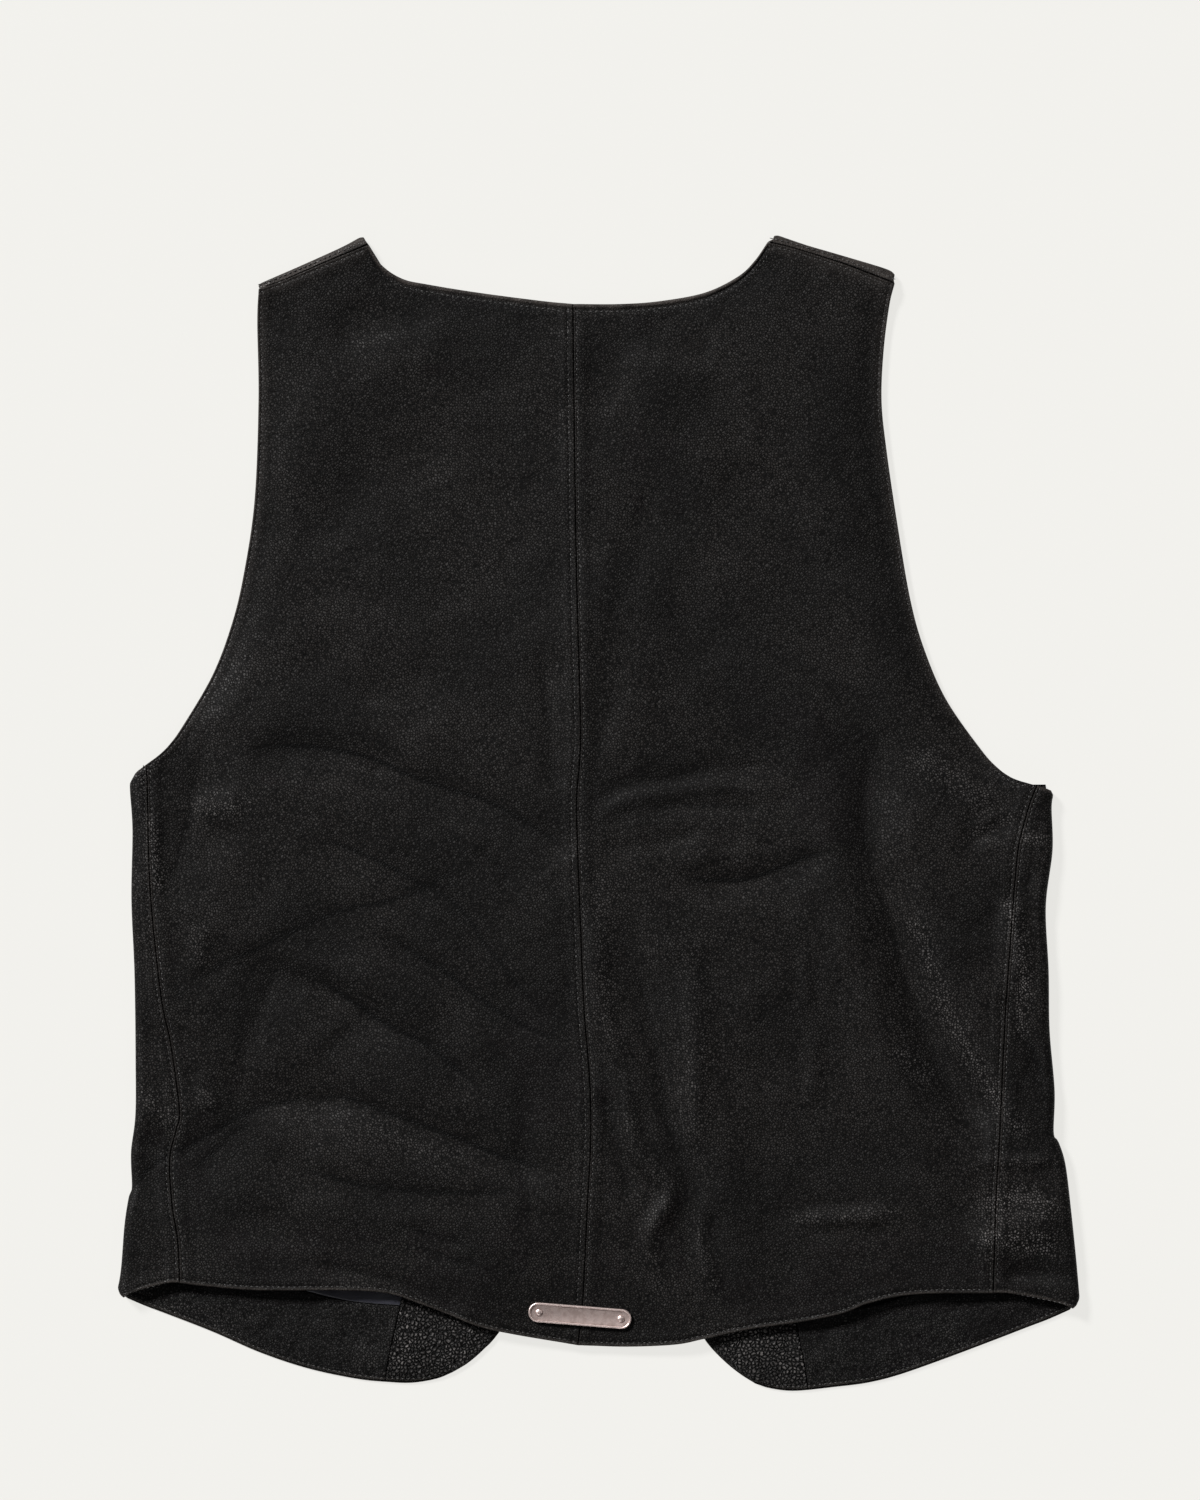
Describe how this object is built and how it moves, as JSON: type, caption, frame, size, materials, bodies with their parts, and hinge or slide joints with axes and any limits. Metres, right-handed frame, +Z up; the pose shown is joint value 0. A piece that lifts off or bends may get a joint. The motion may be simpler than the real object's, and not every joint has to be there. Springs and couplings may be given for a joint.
{
  "type": "leather vest",
  "caption": "Button-front leather vest laid flat on its front, back side up, with a centre back seam, cutaway front hems and a plain metal plate on the back hem.",
  "frame": {"origin": "bottom centre of the outline, on the surface the vest lies on", "axes": "+Z up through the layers from the front to the back of the vest, +Y along the back towards the collar, +X towards the wearer's right"},
  "size_m": [0.5598, 0.6722, 0.0123],
  "materials": {
    "shell_leather": "soft black leather, fine pebbled grain, low sheen, brown where the edges are worn",
    "facing_leather": "black leather, coarser grain, semi-gloss",
    "lining_cloth": "dark navy satin weave",
    "button_metal": "aged silver tone",
    "plate_metal": "aged silver tone, dull with wear on the rim"
  },
  "bodies": {
    "root": {"back_left": "shell_leather", "back_right": "shell_leather", "front_left": "shell_leather", "front_right": "shell_leather", "front_facing_left": "facing_leather", "front_facing_right": "facing_leather", "hem_facing_left": "facing_leather", "hem_facing_right": "facing_leather", "lining_left": "lining_cloth", "button_1": "button_metal", "button_2": "button_metal", "button_3": "button_metal", "button_4": "button_metal", "button_5": "button_metal", "hem_plate": "plate_metal"}
  },
  "joints": []
}
